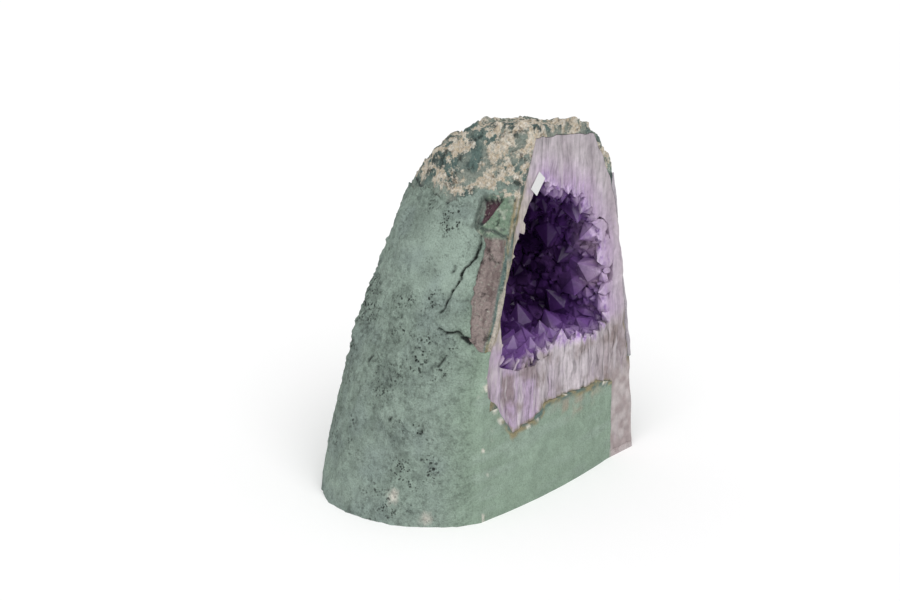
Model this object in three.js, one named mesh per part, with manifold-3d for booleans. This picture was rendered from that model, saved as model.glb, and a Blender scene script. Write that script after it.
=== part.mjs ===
// An amethyst geode on a sawn base. Its front is sawn flat and polished through the hollow, so the quartz crust
// and its crystal points show. Its back and foot are faced with green cement, and the natural rock is bare on
// the crown and in a strip beside the polished front.
//
// Sizes are in millimetres. The stone is laid out with x across the polished front from its lower left
// corner, y from the front to the back, and z up from the base. The group moves it over its own middle.
import * as THREE from "three";
import { mergeVertices } from "three/addons/utils/BufferGeometryUtils.js";
import Module from "manifold-3d";

const wasm = await Module();
wasm.setup();

// The middle of the stone's outline on the table, in the layout above.
const MIDDLE = { x: 62, y: 64 };
const GAP = 0.3;

// Level outlines of the stone. Each is a rounded oval about mid, which reaches left, right and depth from it.
const LEVELS = [
  { z: 0, midX: 57, midY: 60, left: 100, right: 110, depth: 72 },
  { z: 40, midX: 60, midY: 56, left: 95, right: 98, depth: 72 },
  { z: 75, midX: 63, midY: 51, left: 90, right: 87, depth: 70 },
  { z: 110, midX: 65, midY: 48, left: 78.5, right: 77, depth: 67 },
  { z: 140, midX: 67, midY: 44, left: 67, right: 67, depth: 63 },
  { z: 165, midX: 69, midY: 40, left: 60, right: 60, depth: 60 },
  { z: 185, midX: 71, midY: 36, left: 50, right: 51, depth: 57 },
  { z: 205, midX: 72, midY: 30, left: 43, right: 38, depth: 49 },
  { z: 225, midX: 73, midY: 26, left: 33, right: 30, depth: 41 },
];
const LEFT_ROUNDNESS = 2.3;
const RIGHT_ROUNDNESS = 4;
const BELOW_BASE = -12;

// Broken faces of the crown: a point on each and its outward direction.
const CROWN_FACES = [
  { at: [60, 30, 220], out: [0.16, 0.1, 1] },
  { at: [44, 54, 211], out: [-0.3, 0.5, 1] },
  { at: [70, 72, 199], out: [0, 1, 1] },
  { at: [104, 10, 211], out: [0.6, 0, 1] },
];

// Noise that swells the flanks, and the ledges and bumps of the crown above its start.
const FLANK_BUMPS = [{ size: 34, height: 1.6, seed: 1 }, { size: 15, height: 0.8, seed: 2 }];
const CROWN_LEDGES = { size: 17, height: 1.68, steps: 1.6, seed: 3 };
const CROWN_BUMPS = { size: 11, height: 1.6, seed: 4 };
const CROWN_START = { z: 183, blend: 14 };

// The stone is star shaped about this point, which its surface is measured from.
const HEART = new THREE.Vector3(62, 45, 100);
const STONE_DETAIL = 8;
const HIDDEN_DETAIL = 5;
const LONGEST_RAY = 260;
// Farther than any point of the stone, for cuts that run right through it.
const FAR = 400;

const CEMENT_THICKNESS = 5;
const BARE_ROCK_SUNK = 1.5;
const ROCK_BOTTOM = 14;
const CEMENT_FRONT = { depth: 9, top: 66 };
const CROWN_LINE = { height: 184, raggedness: 3, corners: 30, radius: 180, top: 300 };
// Where the cement stops on the left flank, from front to back.
const LEFT_LINE = [187, 181, 179, 182, 177, 176];

// The bare strip of the left flank, as y and z.
const BARE_STRIP = [
  [-9, 101], [2, 101], [6, 103], [10, 110], [12, 119], [14, 129], [13, 140],
  [12, 150], [11, 160], [15, 167], [20, 176], [24, 192], [-9, 192],
];
const STRIP_FOOT = 105;
const STRIP_REACH = { from: -70, to: 50 };
const SOCKET = { at: [20, 15, 177], size: 8 };

// The crust's outline on the polished front, as x and z, clockwise from its top left.
const CRUST_OUTLINE = [
  [43, 217], [66, 215], [85, 213], [99, 210], [108, 198], [118, 180], [124, 165], [128, 147], [133, 125],
  [136, 100], [141.5, 70], [144, 52], [124, 51], [110, 55], [101, 53], [86, 55], [70, 56], [55, 57], [51, 51],
  [45, 48], [36, 49], [25, 46], [16, 57], [8, 68], [0, 75], [0, 89], [3, 101], [9, 111], [15, 129], [21, 149],
  [24, 165], [32, 189], [38, 204],
];
const CRUST_MIDDLE = { x: 68, z: 134 };
const CRUST_DEPTH = 88;
const BOWL_ROUNDNESS = 2.4;
const BOWL_RINGS = [0, 0.2, 0.4, 0.58, 0.74, 0.87, 0.96];
const BOWL_COLLAR = 10;

// The mouth of the hollow between the tips of its crystals, as x and z, clockwise from its top left.
const MOUTH_OUTLINE = [
  [52, 188], [62, 181], [76, 179], [88, 172], [97, 162], [105, 148], [112, 130], [112, 112], [118, 92],
  [108, 88], [90, 90], [72, 92], [54, 92], [36, 92], [20, 96], [16, 108], [16, 119], [20, 134], [26, 149],
  [32, 161], [38, 173], [44, 181],
];
const MOUTH_MARGIN = 5;
const MOUTH_CORNERS = 28;
const HOLLOW_DEPTH = 76;

// A foot of quartz that runs down the right edge of the front, as x and z.
const QUARTZ_FOOT = {
  outline: [[124, 62], [126, 30], [127, 4], [170, 4], [170, 62]],
  middle: [148, 33],
  depth: 14,
};

const CRYSTALS = {
  count: 84,
  seed: 3,
  smallest: 5,
  largest: 10,
  stub: 8,
  footWidth: 0.8,
  lowest: 0.05,
  highest: 0.55,
  tipSlope: 1.1,
  aimDepth: 0.45,
  lean: 0.42,
};
// The crystals by the left edge of the mouth are stunted by this share, back to a depth.
const STUNTED = { share: 0.6, depth: 14, leftOf: -0.3 };
// Points laid out at this turn from one to the next spread evenly over a round field.
const GOLDEN_ANGLE = Math.PI * (3 - Math.sqrt(5));

// Blocky lumps of rock that stand out of the crown, and one on its left shoulder.
const CROWN_LUMPS = { count: 13, smallest: 12, largest: 18, spread: 0.5, sunk: 0.76, detail: 1 };
const SHOULDER = { at: [40, 66, 193], size: [12, 12, 9] };
// Pits in the cement of the left flank, each near this point of its surface.
const CEMENT_PITS = [
  { at: [-6, 54, 115], size: 4 },
  { at: [-13, 29, 97], size: 3.6 },
  { at: [-21, 54, 80], size: 4 },
  { at: [-23, 36, 55], size: 3.6 },
  { at: [-29, 29, 34], size: 4 },
  { at: [-38, 49, 10], size: 3.6 },
  { at: [-1, 100, 77], size: 4 },
  { at: [2, 33, 127], size: 3.4 },
];

// The cement of the lower front swells gently out past the polished face.
const FOOT_SWELL = { at: [58, 12, 0], size: [94, 16, 66], detail: 5 };

// A blank paper label on the crust beside the hollow's top.
const LABEL = { at: [44.5, 190.7], width: 11.7, height: 7.3, thickness: 0.3, turn: 0.85 };

// A repeatable number from 0 to 1 for three whole numbers.
function scatter(i, j, k) {
  const s = Math.sin(i * 127.1 + j * 311.7 + k * 74.7) * 43758.5453;
  return s - Math.floor(s);
}

const ease = (t) => t * t * (3 - 2 * t);
const mix = (a, b, t) => a + (b - a) * t;

// Smooth noise from -1 to 1 whose bumps are about size apart.
function bumps(p, size, seed) {
  const at = [p.x / size, p.y / size, p.z / size];
  const cell = at.map(Math.floor);
  const [u, v, w] = at.map((a, n) => ease(a - cell[n]));
  const corner = (i, j, k) => scatter(cell[0] + i + seed * 17, cell[1] + j, cell[2] + k);
  const row = (j, k) => mix(corner(0, j, k), corner(1, j, k), u);
  return 2 * mix(mix(row(0, 0), row(1, 0), v), mix(row(0, 1), row(1, 1), v), w) - 1;
}

// One value of the level outlines at height z, on a smooth curve through them.
function levelValue(key, z) {
  const height = THREE.MathUtils.clamp(z, 0, LEVELS.at(-1).z);
  let i = 0;
  while (i < LEVELS.length - 2 && LEVELS[i + 1].z <= height) i += 1;
  const slope = (n) => {
    const before = LEVELS[Math.max(n - 1, 0)];
    const after = LEVELS[Math.min(n + 1, LEVELS.length - 1)];
    return (after[key] - before[key]) / (after.z - before.z);
  };
  const step = LEVELS[i + 1].z - LEVELS[i].z;
  const t = (height - LEVELS[i].z) / step;
  return (
    (2 * t ** 3 - 3 * t ** 2 + 1) * LEVELS[i][key] +
    (t ** 3 - 2 * t ** 2 + t) * step * slope(i) +
    (3 * t ** 2 - 2 * t ** 3) * LEVELS[i + 1][key] +
    (t ** 3 - t ** 2) * step * slope(i + 1)
  );
}

// How far the flanks and the broken crown swell or sink at a point.
function lumps(p) {
  const swell = ({ size, height, seed }) => height * bumps(p, size, seed);
  const flank = FLANK_BUMPS.reduce((sum, one) => sum + swell(one), 0);
  const ledge = Math.round(CROWN_LEDGES.steps * bumps(p, CROWN_LEDGES.size, CROWN_LEDGES.seed));
  const crown = CROWN_LEDGES.height * ledge + swell(CROWN_BUMPS);
  return mix(flank, crown, ease(THREE.MathUtils.clamp((p.z - CROWN_START.z) / CROWN_START.blend, 0, 1)));
}

// Roughly how far outside the stone a point is; it is below zero inside. The sawn faces aren't in it.
function outsideStone(p) {
  const midX = levelValue("midX", p.z);
  const dx = p.x - midX;
  const dy = p.y - levelValue("midY", p.z);
  const depth = levelValue("depth", p.z);
  const reach = levelValue(dx > 0 ? "right" : "left", p.z);
  const roundness = dx > 0 ? RIGHT_ROUNDNESS : LEFT_ROUNDNESS;
  const span = (Math.abs(dx / reach) ** roundness + Math.abs(dy / depth) ** roundness) ** (1 / roundness);
  let outside = Math.max((span - 1) * Math.min(reach, depth), BELOW_BASE - p.z);
  for (const face of CROWN_FACES) {
    const out = new THREE.Vector3(...face.out).normalize();
    outside = Math.max(outside, out.dot(p.clone().sub(new THREE.Vector3(...face.at))));
  }
  return outside - lumps(p);
}

// The point where a ray from the heart leaves the stone, sunk by a thickness.
function surfacePoint(ray, sunk) {
  const point = new THREE.Vector3();
  let inner = 0;
  let outer = LONGEST_RAY;
  while (outer - inner > 0.001) {
    const middle = (inner + outer) / 2;
    point.copy(ray).multiplyScalar(middle).add(HEART);
    if (outsideStone(point) + sunk < 0) inner = middle;
    else outer = middle;
  }
  return point.copy(ray).multiplyScalar(inner).add(HEART);
}

// The stone's surface, sunk by a thickness, as a closed geometry.
function stoneGeometry(sunk, detail = STONE_DETAIL) {
  const geometry = new THREE.IcosahedronGeometry(1, detail);
  const place = geometry.getAttribute("position");
  const ray = new THREE.Vector3();
  for (let i = 0; i < place.count; i += 1) {
    const point = surfacePoint(ray.fromBufferAttribute(place, i).normalize(), sunk);
    place.setXYZ(i, point.x, point.y, point.z);
  }
  return geometry;
}

// A closed geometry as a solid that can be joined and cut.
function solid(geometry) {
  const bare = new THREE.BufferGeometry().setAttribute("position", geometry.getAttribute("position"));
  if (geometry.index) bare.setIndex(geometry.index);
  const merged = mergeVertices(bare, 1e-3);
  return new wasm.Manifold(
    new wasm.Mesh({
      numProp: 3,
      vertProperties: new Float32Array(merged.getAttribute("position").array),
      triVerts: new Uint32Array(merged.index.array),
    }),
  );
}

// A box between two corners, as a solid.
function block(low, high) {
  const size = high.map((h, i) => h - low[i]);
  return solid(new THREE.BoxGeometry(...size).translate(...low.map((l, i) => l + size[i] / 2)));
}

// Everything before the sawn front, and everything under a height.
const inFrontOfFace = (margin) => block([-FAR, -FAR, -FAR], [FAR, margin, FAR]);
const underBase = (height) => block([-FAR, -FAR, -FAR], [FAR, FAR, height]);

// Rings of points about an axis, skinned and closed at both ends to a solid. All run the same way round.
function skinned(rings) {
  const around = rings[0].length;
  const corners = [];
  const middleOf = (ring) => [0, 1, 2].map((n) => ring.reduce((sum, p) => sum + p[n], 0) / around);
  const front = middleOf(rings[0]);
  const back = middleOf(rings.at(-1));
  for (let i = 0; i < around; i += 1) {
    const n = (i + 1) % around;
    corners.push(front, rings[0][n], rings[0][i], back, rings.at(-1)[i], rings.at(-1)[n]);
    for (let r = 0; r < rings.length - 1; r += 1) {
      corners.push(rings[r][i], rings[r][n], rings[r + 1][i]);
      corners.push(rings[r][n], rings[r + 1][n], rings[r + 1][i]);
    }
  }
  const geometry = new THREE.BufferGeometry();
  geometry.setAttribute("position", new THREE.Float32BufferAttribute(corners.flat(), 3));
  return solid(geometry);
}

// How far a bowl has narrowed at a share of its depth.
const narrowing = (share) => (1 - share ** BOWL_ROUNDNESS) ** (1 / BOWL_ROUNDNESS);

// A bowl sunk into the face behind an outline, grown by a margin, with a collar in front of the face.
function bowl(outline, depth, margin, collar) {
  const ring = (share, y) =>
    outline.map(([x, z]) => {
      const away = new THREE.Vector2(x - CRUST_MIDDLE.x, z - CRUST_MIDDLE.z);
      away.multiplyScalar(narrowing(share)).setLength(away.length() + margin);
      return [CRUST_MIDDLE.x + away.x, y, CRUST_MIDDLE.z + away.y];
    });
  const rings = BOWL_RINGS.map((share) => ring(share, share * (depth + margin)));
  if (collar > 0) rings.unshift(ring(0, -collar));
  return skinned(rings);
}

// An outline in y and z, drawn out along x.
function flankPrism(outline, reach) {
  const shape = new THREE.Shape(outline.map(([y, z]) => new THREE.Vector2(y, z)));
  const geometry = new THREE.ExtrudeGeometry(shape, { depth: reach.to - reach.from, bevelEnabled: false });
  geometry.rotateY(Math.PI / 2).rotateX(Math.PI / 2);
  return solid(geometry.translate(reach.from, 0, 0));
}

// An outline in x and z, drawn out from just before the face to a depth behind it.
function facePrism(outline, depth, margin) {
  const shape = new THREE.Shape(outline.map(([x, z]) => new THREE.Vector2(x, z)));
  const geometry = new THREE.ExtrudeGeometry(shape, { depth: depth + margin, bevelEnabled: false });
  geometry.rotateX(Math.PI / 2).translate(0, depth + margin, 0);
  return solid(geometry);
}

// The height at which the cement stops in one direction from the heart.
function crownLine(angle, corner) {
  const ragged = CROWN_LINE.raggedness * (2 * scatter(corner, 5, 9) - 1);
  if (Math.cos(angle) > 0) return CROWN_LINE.height + ragged;
  const along = ((1 + Math.sin(angle)) / 2) * (LEFT_LINE.length - 1);
  const step = Math.min(Math.floor(along), LEFT_LINE.length - 2);
  return mix(LEFT_LINE[step], LEFT_LINE[step + 1], along - step) + ragged;
}

// Everything above the ragged line where the cement stops under the crown.
function crownZone(margin) {
  const around = Array.from({ length: CROWN_LINE.corners }, (_, i) => (i / CROWN_LINE.corners) * 2 * Math.PI);
  const at = (angle, z) =>
    new THREE.Vector3(
      HEART.x + CROWN_LINE.radius * Math.cos(angle),
      HEART.y + CROWN_LINE.radius * Math.sin(angle),
      z,
    );
  const low = around.map((angle, i) => at(angle, crownLine(angle, i) - margin));
  const high = around.map((angle) => at(angle, CROWN_LINE.top));
  const under = new THREE.Vector3(HEART.x, HEART.y, CROWN_LINE.height - margin);
  const over = new THREE.Vector3(HEART.x, HEART.y, CROWN_LINE.top);
  const corners = [];
  low.forEach((a, i) => {
    const n = (i + 1) % low.length;
    corners.push(under, low[n], a, over, high[i], high[n]);
    corners.push(a, low[n], high[i], low[n], high[n], high[i]);
  });
  return solid(new THREE.BufferGeometry().setFromPoints(corners));
}

// How far the hollow's wall is from its middle at the face in one direction, behind the crystal tips.
function mouthRadius(angle) {
  const ray = new THREE.Vector2(Math.cos(angle), Math.sin(angle));
  let radius = 0;
  MOUTH_OUTLINE.forEach(([x, z], i) => {
    const [nextX, nextZ] = MOUTH_OUTLINE[(i + 1) % MOUTH_OUTLINE.length];
    const from = new THREE.Vector2(x - CRUST_MIDDLE.x, z - CRUST_MIDDLE.z);
    const edge = new THREE.Vector2(nextX - x, nextZ - z);
    const turn = ray.cross(edge);
    const along = from.cross(edge) / turn;
    const share = from.cross(ray) / turn;
    if (Math.abs(turn) > 1e-9 && along > 0 && share >= 0 && share <= 1) radius = Math.max(radius, along);
  });
  return radius + MOUTH_MARGIN;
}

// One quartz crystal: a six-sided column with a point, its foot below the ground that it grows from.
function crystal(radius, rise) {
  const profile = [
    new THREE.Vector2(0, -CRYSTALS.stub),
    new THREE.Vector2(radius * CRYSTALS.footWidth, -CRYSTALS.stub),
    new THREE.Vector2(radius, rise),
    new THREE.Vector2(0, rise + radius * CRYSTALS.tipSlope),
  ];
  return new THREE.LatheGeometry(profile, 6);
}

// The crystals of the hollow, spread evenly over its wall and leaning a little apart.
function crystals() {
  const up = new THREE.Vector3(0, 1, 0);
  const made = [];
  for (let i = 0; i < CRYSTALS.count; i += 1) {
    const chance = (n) => scatter(i, n, CRYSTALS.seed);
    const share = (i + 0.1) / CRYSTALS.count;
    const angle = i * GOLDEN_ANGLE;
    const wall = mouthRadius(angle) * narrowing(share);
    const foot = new THREE.Vector3(
      CRUST_MIDDLE.x + wall * Math.cos(angle),
      share * HOLLOW_DEPTH,
      CRUST_MIDDLE.z + wall * Math.sin(angle),
    );
    const target = new THREE.Vector3(CRUST_MIDDLE.x, foot.y * CRYSTALS.aimDepth, CRUST_MIDDLE.z);
    const aim = target.sub(foot).normalize();
    aim.x += CRYSTALS.lean * (chance(1) - 0.5) * 2;
    aim.y += CRYSTALS.lean * (chance(2) - 0.5) * 2;
    aim.z += CRYSTALS.lean * (chance(3) - 0.5) * 2;
    const stunted = Math.cos(angle) < STUNTED.leftOf && foot.y < STUNTED.depth ? 1 - STUNTED.share : 1;
    const radius = stunted * mix(CRYSTALS.smallest, CRYSTALS.largest, chance(4) ** 1.5);
    const geometry = crystal(radius, radius * mix(CRYSTALS.lowest, CRYSTALS.highest, chance(5)));
    geometry.rotateY(chance(6) * Math.PI);
    geometry.applyQuaternion(new THREE.Quaternion().setFromUnitVectors(up, aim.normalize()));
    made.push(solid(geometry.translate(foot.x, foot.y, foot.z)));
  }
  return made;
}

// The quartz crust with its crystals, sawn off at the front.
function crystalCrust() {
  const outer = bowl(CRUST_OUTLINE, CRUST_DEPTH, 0, 0);
  const inner = Array.from({ length: MOUTH_CORNERS }, (_, i) => {
    const angle = (i / MOUTH_CORNERS) * -2 * Math.PI;
    const radius = mouthRadius(angle);
    return [CRUST_MIDDLE.x + radius * Math.cos(angle), CRUST_MIDDLE.z + radius * Math.sin(angle)];
  });
  let grown = outer.subtract(bowl(inner, HOLLOW_DEPTH, 0, BOWL_COLLAR));
  for (const one of crystals()) grown = grown.add(one);
  const foot = facePrism(QUARTZ_FOOT.outline, QUARTZ_FOOT.depth, 0).intersect(solid(stoneGeometry(GAP)));
  return grown.intersect(outer).add(foot).subtract(inFrontOfFace(0));
}

// The places taken by the crust and its foot, with the gap that other pieces keep from them.
function withoutCrust(piece) {
  return piece
    .subtract(bowl(CRUST_OUTLINE, CRUST_DEPTH, GAP, BOWL_COLLAR))
    .subtract(facePrism(grownFoot(), QUARTZ_FOOT.depth, GAP));
}

// The outline of the quartz foot with the gap round it.
function grownFoot() {
  const [midX, midZ] = QUARTZ_FOOT.middle;
  return QUARTZ_FOOT.outline.map(([x, z]) => [x + Math.sign(x - midX) * GAP, z + Math.sign(z - midZ) * GAP]);
}

// A lump, with flat facets at low detail and round at high detail. Its place also sets how it is turned.
function lump({ at, size }, detail) {
  const [x, y, z] = Array.isArray(size) ? size : [size, size, size];
  const geometry = new THREE.IcosahedronGeometry(1, detail).rotateX(at[0]).rotateZ(at[1]);
  return solid(geometry.scale(x, y, z).translate(...at));
}

// Rocky lumps spread over the crown, each sunk a little into its surface.
function crownLumps() {
  return Array.from({ length: CROWN_LUMPS.count }, (_, i) => {
    const tilt = CROWN_LUMPS.spread * Math.sqrt((i + 0.5) / CROWN_LUMPS.count);
    const angle = i * GOLDEN_ANGLE;
    const ray = new THREE.Vector3(
      Math.sin(tilt) * Math.cos(angle),
      Math.sin(tilt) * Math.sin(angle),
      Math.cos(tilt),
    );
    const size = mix(CROWN_LUMPS.smallest, CROWN_LUMPS.largest, scatter(i, 2, 8));
    return { at: surfacePoint(ray, size * CROWN_LUMPS.sunk).toArray(), size };
  });
}

// The host rock: deep under the cement, and nearly out to the surface where it is bare.
function hostRock() {
  let bare = solid(stoneGeometry(BARE_ROCK_SUNK));
  for (const one of [...crownLumps(), SHOULDER]) bare = bare.add(lump(one, CROWN_LUMPS.detail));
  const zone = crownZone(0).add(flankPrism(BARE_STRIP, STRIP_REACH));
  const covered = solid(stoneGeometry(CEMENT_THICKNESS, HIDDEN_DETAIL))
    .subtract(block([-FAR, -FAR, -FAR], [FAR, CEMENT_FRONT.depth, CEMENT_FRONT.top]))
    .subtract(underBase(ROCK_BOTTOM));
  return withoutCrust(covered.add(bare.intersect(zone)).subtract(lump(SOCKET, 1))).subtract(inFrontOfFace(0));
}

// The cement facing: a skin over the back and flanks, and thicker under the base and in the lower front.
function cementFacing() {
  const inside = solid(stoneGeometry(CEMENT_THICKNESS - GAP, HIDDEN_DETAIL))
    .subtract(block([-FAR, -FAR, -FAR], [FAR, CEMENT_FRONT.depth - GAP, CEMENT_FRONT.top - GAP]))
    .subtract(underBase(ROCK_BOTTOM - GAP));
  const grownStrip = BARE_STRIP.map(([y, z]) => [y + (y > 0 ? GAP : 0), z + (z < STRIP_FOOT ? -GAP : 0)]);
  const bare = crownZone(GAP).add(flankPrism(grownStrip, STRIP_REACH));
  const swell = lump(FOOT_SWELL, FOOT_SWELL.detail);
  let facing = solid(stoneGeometry(0)).subtract(inside).subtract(bare).subtract(inFrontOfFace(0));
  for (const { at, size } of CEMENT_PITS) {
    const ray = new THREE.Vector3(...at).sub(HEART).normalize();
    facing = facing.subtract(lump({ at: surfacePoint(ray, 0).toArray(), size }, 0));
  }
  return withoutCrust(facing.add(swell.intersect(inFrontOfFace(GAP)))).subtract(underBase(0));
}

// The blank label, standing just off the polished front.
function paperLabel() {
  const geometry = new THREE.BoxGeometry(LABEL.width, LABEL.thickness, LABEL.height);
  geometry.rotateY(-LABEL.turn);
  return solid(geometry.translate(LABEL.at[0], -GAP - LABEL.thickness / 2, LABEL.at[1]));
}

// The corners of a solid's largest connected skin, three to a triangle. Loose crumbs and sealed pockets go.
function largestSkin(triVerts) {
  const leader = new Map();
  const find = (corner) => {
    let at = corner;
    while (leader.has(at)) at = leader.get(at);
    return at;
  };
  const join = (a, b) => {
    const [from, to] = [find(a), find(b)];
    if (from !== to) leader.set(from, to);
  };
  for (let i = 0; i < triVerts.length; i += 3) {
    join(triVerts[i], triVerts[i + 1]);
    join(triVerts[i], triVerts[i + 2]);
  }
  const skins = new Map();
  for (let i = 0; i < triVerts.length; i += 3) {
    const skin = find(triVerts[i]);
    if (!skins.has(skin)) skins.set(skin, []);
    skins.get(skin).push(...triVerts.subarray(i, i + 3));
  }
  return [...skins.values()].reduce((a, b) => (b.length > a.length ? b : a));
}

// A named mesh from a solid.
function mesh(name, piece, material) {
  const { numProp, vertProperties, triVerts } = piece.getMesh();
  const corners = largestSkin(triVerts).flatMap((corner) => [
    ...vertProperties.subarray(corner * numProp, corner * numProp + 3),
  ]);
  const loose = new THREE.BufferGeometry();
  loose.setAttribute("position", new THREE.Float32BufferAttribute(corners, 3));
  const geometry = mergeVertices(loose, 1e-5);
  geometry.computeVertexNormals();
  const made = new THREE.Mesh(geometry, material);
  made.name = name;
  return made;
}

const rockMaterial = new THREE.MeshStandardMaterial({ color: 0x7d7f72, roughness: 0.85, metalness: 0 });
const crustMaterial = new THREE.MeshStandardMaterial({ color: 0x7b549e, roughness: 0.25, metalness: 0 });
const cementMaterial = new THREE.MeshStandardMaterial({ color: 0x7f9687, roughness: 0.9, metalness: 0 });
const paperMaterial = new THREE.MeshStandardMaterial({ color: 0xf2f1ee, roughness: 0.7, metalness: 0 });

const geode = new THREE.Group();
geode.add(
  mesh("host_rock", hostRock(), rockMaterial),
  mesh("crystal_crust", crystalCrust(), crustMaterial),
  mesh("cement_facing", cementFacing(), cementMaterial),
  mesh("paper_label", paperLabel(), paperMaterial),
);
geode.position.set(-MIDDLE.x, -MIDDLE.y, 0);

export default geode;
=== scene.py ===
"""A cut-base amethyst geode: a polished front, a hollow lined with crystals, and a back faced with cement.

Shapes are laid out in millimetres, x across the polished front from its lower left corner, y from the front
to the back, and z up from the base. place() turns that layout into the row frame in metres.
The last numbers of each bumps() and rough() call are the size of the bumps, a seed and the count of layers.
"""
import math

import bmesh
import bpy
import numpy as np
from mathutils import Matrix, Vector


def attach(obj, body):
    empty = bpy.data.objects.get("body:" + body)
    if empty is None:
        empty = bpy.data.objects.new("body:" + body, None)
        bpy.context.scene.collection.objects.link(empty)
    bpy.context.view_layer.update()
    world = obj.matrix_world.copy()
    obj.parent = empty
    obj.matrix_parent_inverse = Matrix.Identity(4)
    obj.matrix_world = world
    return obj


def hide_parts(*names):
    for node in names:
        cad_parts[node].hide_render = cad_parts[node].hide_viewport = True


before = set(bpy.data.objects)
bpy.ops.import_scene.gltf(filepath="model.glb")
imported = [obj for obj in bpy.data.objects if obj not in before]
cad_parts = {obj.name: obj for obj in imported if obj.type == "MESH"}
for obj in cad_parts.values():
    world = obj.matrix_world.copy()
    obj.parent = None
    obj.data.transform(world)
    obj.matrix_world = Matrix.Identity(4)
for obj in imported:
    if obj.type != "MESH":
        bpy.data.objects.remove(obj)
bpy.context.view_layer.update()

MM = 0.001
# The point of the layout that lies at the row frame's origin.
MIDDLE = np.array([62.0, 64.0, 0.0])
# The space left between two pieces that touch.
GAP = 0.3

# Level outlines of the stone, each a rounded oval about (mid_x, mid_y).
LEVEL_Z = [0, 40, 75, 110, 140, 165, 185, 205, 225]
MID_X = [57, 60, 63, 65, 67, 69, 71, 72, 73]
MID_Y = [60, 56, 51, 48, 44, 40, 36, 30, 26]
REACH_LEFT = [100, 95, 90, 78.5, 67, 60, 50, 43, 33]
REACH_RIGHT = [110, 98, 87, 77, 67, 60, 51, 38, 30]
DEPTH = [72, 72, 70, 67, 63, 60, 57, 49, 41]
LEFT_ROUNDNESS = 2.3
RIGHT_ROUNDNESS = 4.0
BELOW_BASE = -12.0
# The point inside the stone that its surfaces are measured from, along rays.
HEART = np.array([62.0, 45.0, 100.0])
LONGEST_RAY = 260.0
RAY_HALVINGS = 20

# Broken faces of the crown: a point on each and its outward direction.
CROWN_FACES = [
    ((60, 30, 220), (0.16, 0.1, 1)),
    ((44, 54, 211), (-0.3, 0.5, 1)),
    ((70, 72, 199), (0, 1, 1)),
    ((104, 10, 211), (0.6, 0, 1)),
]

CEMENT_THICKNESS = 5.0
BARE_ROCK_SUNK = 1.2
ROCK_BOTTOM = 14.0
LOWER_FRONT = {"depth": 9.0, "top": 66.0}
CROWN_LINE_HEIGHT = 184.0
# Where the cement ends under the crown on the left flank, as y and z.
CEMENT_TOP = [
    (0, 186), (14, 189), (24, 187), (30, 184), (36, 181), (42, 178), (52, 180), (60, 182), (80, 177),
    (130, 176),
]

# The bare strip of the left flank beside the polished front, as y and z.
BARE_STRIP = [
    (-9, 101), (2, 101), (6, 103), (10, 110), (12, 119), (14, 129), (13, 140), (12, 150), (11, 160),
    (14, 165), (20, 168), (21, 184), (9, 185), (8, 192), (-9, 192),
]
# The hole beside the strip where a lump of rock has come out, as y and z.
HOLE = [(20.5, 184), (8.5, 184.5), (11, 180), (14, 174), (18, 169), (20.5, 169)]
# Cracks in the cement of the left flank, as y and z.
UPPER_CRACK = [
    (15, 168), (14, 160), (16, 153), (20, 146), (22, 139), (25, 133), (26, 128), (27, 124), (29, 121),
]
LOWER_CRACK = [(27, 113), (22, 111), (17, 112), (13, 110), (9, 106)]
# Where the flank's cement is full of small holes, as y, z and the patch's radius.
HOLE_PATCHES = [
    (54, 115, 15), (29, 97, 16), (54, 80, 13), (29, 34, 15), (49, 8, 14), (93, 113, 18), (100, 77, 18),
    (89, 47, 18), (36, 55, 13), (33, 127, 8), (60, 178, 10), (36, 170, 9),
]
# Where the cement was trowelled smooth, as y, z and the patch's radius.
SMOOTH_PATCHES = [(38, 150, 26), (14, 40, 18), (40, 98, 9), (20, 128, 9)]
# Pale chips in the cement, as x, y, z and the radius.
PALE_CHIPS = [
    ((-35, 40, 16), 5.5), ((-29, 22, 5), 4.0), ((-1, 0, 81), 3.0), ((6, 0, 66), 3.0), ((12, 0, 58), 2.6),
]
# Short cuts of the trowel, as y and z of both ends.
SLITS = [
    ((26, 59), (27, 54)), ((21, 98), (23, 93)), ((26, 146), (27, 143)), ((44, 62), (46, 60)),
    ((70, 90), (72, 86)),
]

# The crust's outline on the polished front, as x and z, clockwise from its top left.
CRUST_OUTLINE = [
    (43, 217), (66, 215), (85, 213), (99, 210), (108, 198), (118, 180), (124, 165), (128, 147),
    (133, 125), (136, 100), (141.5, 70), (144, 52), (124, 51), (110, 55), (101, 53), (86, 55), (70, 56),
    (55, 57), (51, 51), (45, 48), (36, 49), (25, 46), (16, 57), (8, 68), (0, 75), (0, 89), (3, 101),
    (9, 111), (15, 129), (21, 149), (24, 165), (32, 189), (38, 204),
]
CRUST_MIDDLE = np.array([68.0, 134.0])
CRUST_DEPTH = 88.0
BOWL_ROUNDNESS = 2.4
BOWL_RINGS = 20

# The mouth of the hollow between the tips of its crystals, as x and z, clockwise from its top left.
MOUTH_OUTLINE = [
    (52, 188), (62, 181), (76, 179), (88, 172), (97, 162), (105, 148), (112, 130), (112, 112), (118, 92),
    (108, 88), (90, 90), (72, 92), (54, 92), (36, 92), (20, 96), (16, 108), (16, 119), (20, 134), (26, 149),
    (32, 161), (38, 173), (44, 181),
]
MOUTH_MARGIN = 5.0
# Where broken crystals widen the mouth: a direction from the middle, its half width in degrees, and how far.
MOUTH_SWELLS = [(0, 42, 8.0), (-127, 24, 6.5), (-98, 22, 3.0)]
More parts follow.
